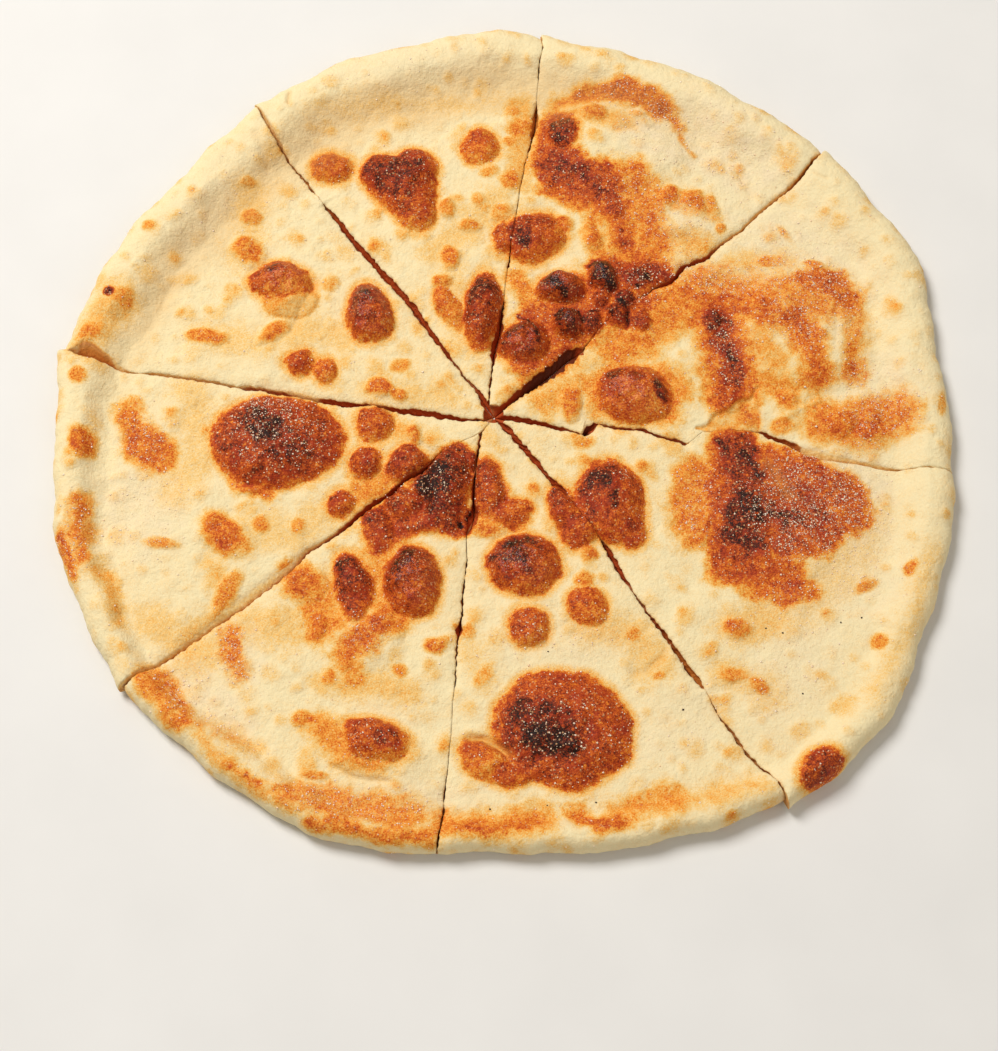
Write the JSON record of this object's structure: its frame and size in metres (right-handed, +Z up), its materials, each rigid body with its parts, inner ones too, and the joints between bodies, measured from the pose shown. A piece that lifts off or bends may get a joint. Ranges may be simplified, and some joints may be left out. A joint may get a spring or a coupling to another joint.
{
  "type": "focaccia",
  "caption": "Round blistered flat bread with a low puffed rim, cut through into wedge slices that still lie together as the whole round.",
  "frame": {"origin": "on the flat underside, below the middle of the whole bread's outline", "axes": "+Z up, out of the blistered top; +X to the right and +Y to the back of the bread as it is seen from the front"},
  "size_m": [0.3308, 0.332, 0.0149],
  "materials": {
    "crust": "baked bread crust, pale dough with browned blisters",
    "semolina": "dry grains of flour and semolina",
    "specks": "burnt specks"
  },
  "bodies": {
    "root": {"slice_right_back": "crust", "slice_back_right": "crust", "slice_back_left": "crust", "slice_left_back": "crust", "slice_left_front": "crust", "slice_front_left": "crust", "slice_front_right": "crust", "slice_right_front": "crust"}
  },
  "joints": []
}
